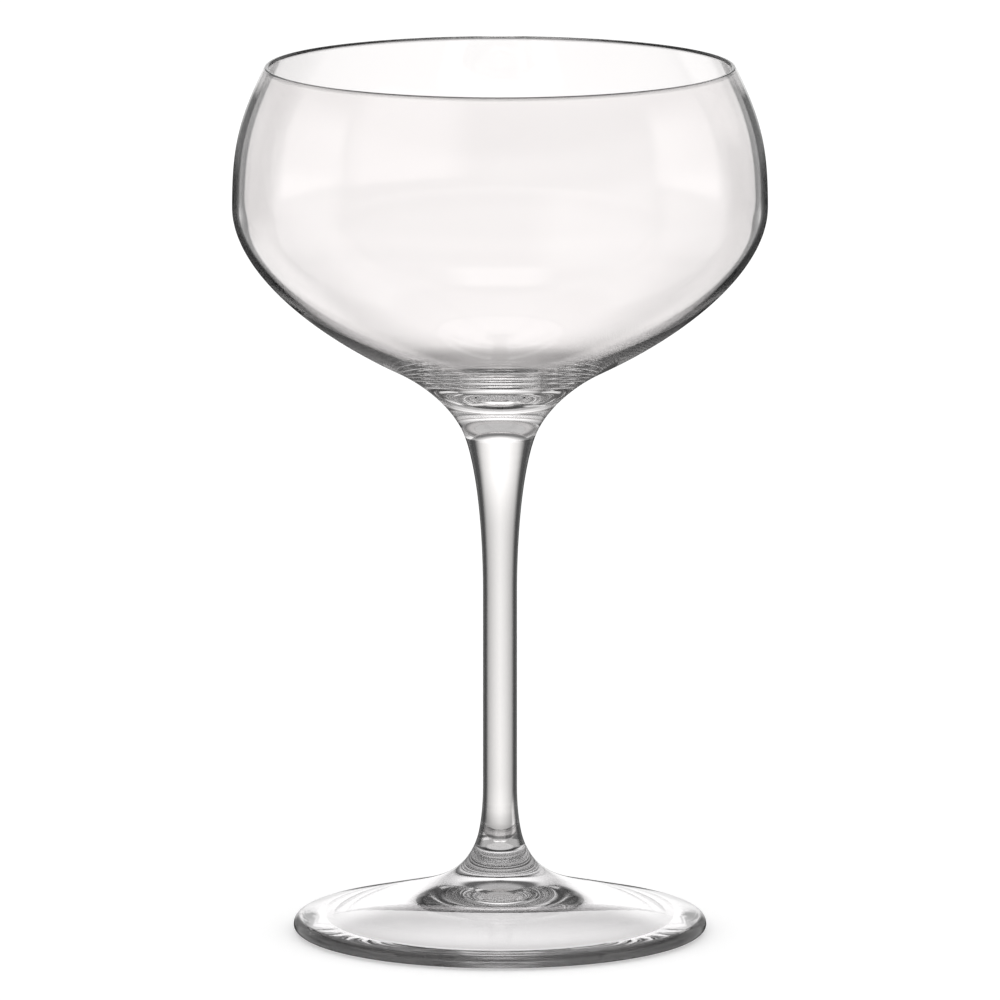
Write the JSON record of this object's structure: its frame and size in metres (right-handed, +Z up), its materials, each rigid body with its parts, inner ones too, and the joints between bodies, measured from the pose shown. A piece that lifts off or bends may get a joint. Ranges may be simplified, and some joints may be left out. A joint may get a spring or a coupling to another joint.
{
  "type": "champagne glass",
  "caption": "Saucer-shaped champagne glass: a wide thin-walled bowl with an inward-leaning rim, on a slim drawn stem and a shallow cone foot.",
  "frame": {"origin": "on the surface the glass stands on, under the middle of the foot", "axes": "+Z up the axis of the stem, towards the rim; X and Y are alike, because the glass is round"},
  "size_m": [0.094, 0.094, 0.154],
  "materials": {
    "bowl_glass": "clear, blown and fire-polished",
    "stem_glass": "clear, drawn and fire-polished",
    "foot_glass": "clear, pressed and fire-polished"
  },
  "bodies": {
    "root": {"bowl": "bowl_glass", "stem": "stem_glass", "foot": "foot_glass"}
  },
  "joints": []
}
